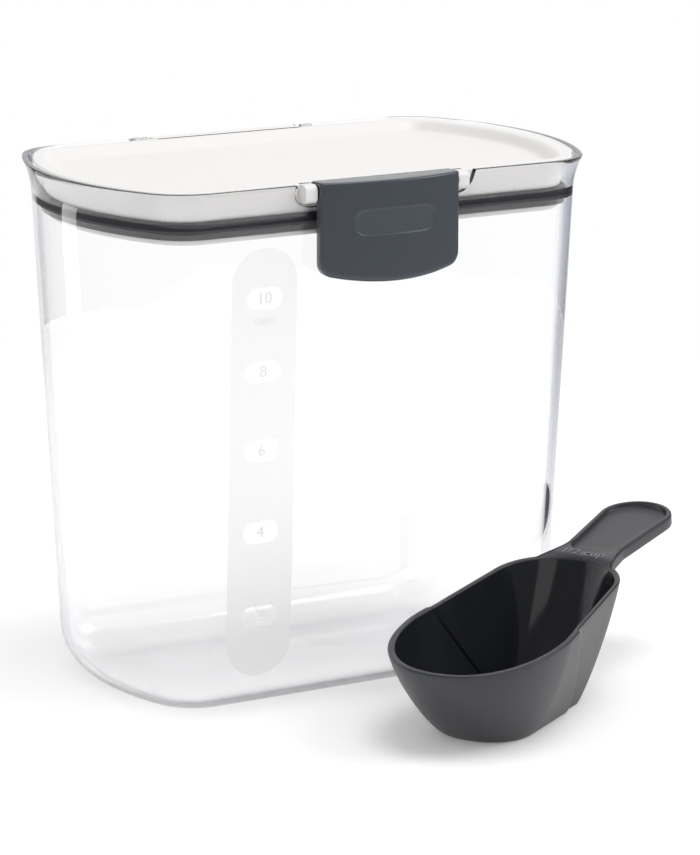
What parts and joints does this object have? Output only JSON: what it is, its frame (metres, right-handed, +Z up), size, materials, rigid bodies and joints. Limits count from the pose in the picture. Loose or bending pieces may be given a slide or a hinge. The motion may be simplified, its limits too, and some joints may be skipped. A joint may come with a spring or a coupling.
{
  "type": "grain storage container",
  "caption": "Tall clear kitchen container with bowed ends, a hinged white lid with a perimeter seal and front latch, and a scoop beside it.",
  "frame": {"origin": "middle of the container's base, on the surface it stands on", "axes": "+Z up, X along the long sides, -Y towards the latch at the front"},
  "size_m": [0.2237, 0.2015, 0.1854],
  "materials": {
    "clear_plastic": "polished clear moulding",
    "white_plastic": "fine satin",
    "gasket_rubber": "matte",
    "slate_plastic": "satin",
    "charcoal_plastic": "satin",
    "pin_steel": "bright drawn wire"
  },
  "bodies": {
    "container": {"container": "clear_plastic", "hinge_pin": "pin_steel"},
    "lid": {"lid_shell": "white_plastic", "lid_liner": "white_plastic", "lid_gasket": "gasket_rubber", "latch_pin": "pin_steel"},
    "latch": {"latch_flap": "slate_plastic"},
    "scoop": {"scoop": "charcoal_plastic"}
  },
  "joints": [
    {"name": "lid_hinge", "type": "hinge", "parent": "container", "child": "lid", "pos_m": [0, 0.06068, 0.182], "axis": [-1, 0, 0], "range_deg": [0, 105]},
    {"name": "latch_hinge", "type": "hinge", "parent": "lid", "child": "latch", "pos_m": [0, -0.05928, 0.1822], "axis": [-1, 0, 0], "range_deg": [0, 100]},
    {"name": "scoop_lift_away", "type": "slide", "parent": "container", "child": "scoop", "axis": [0, -1, 0], "range_m": [0, 0.15]}
  ]
}
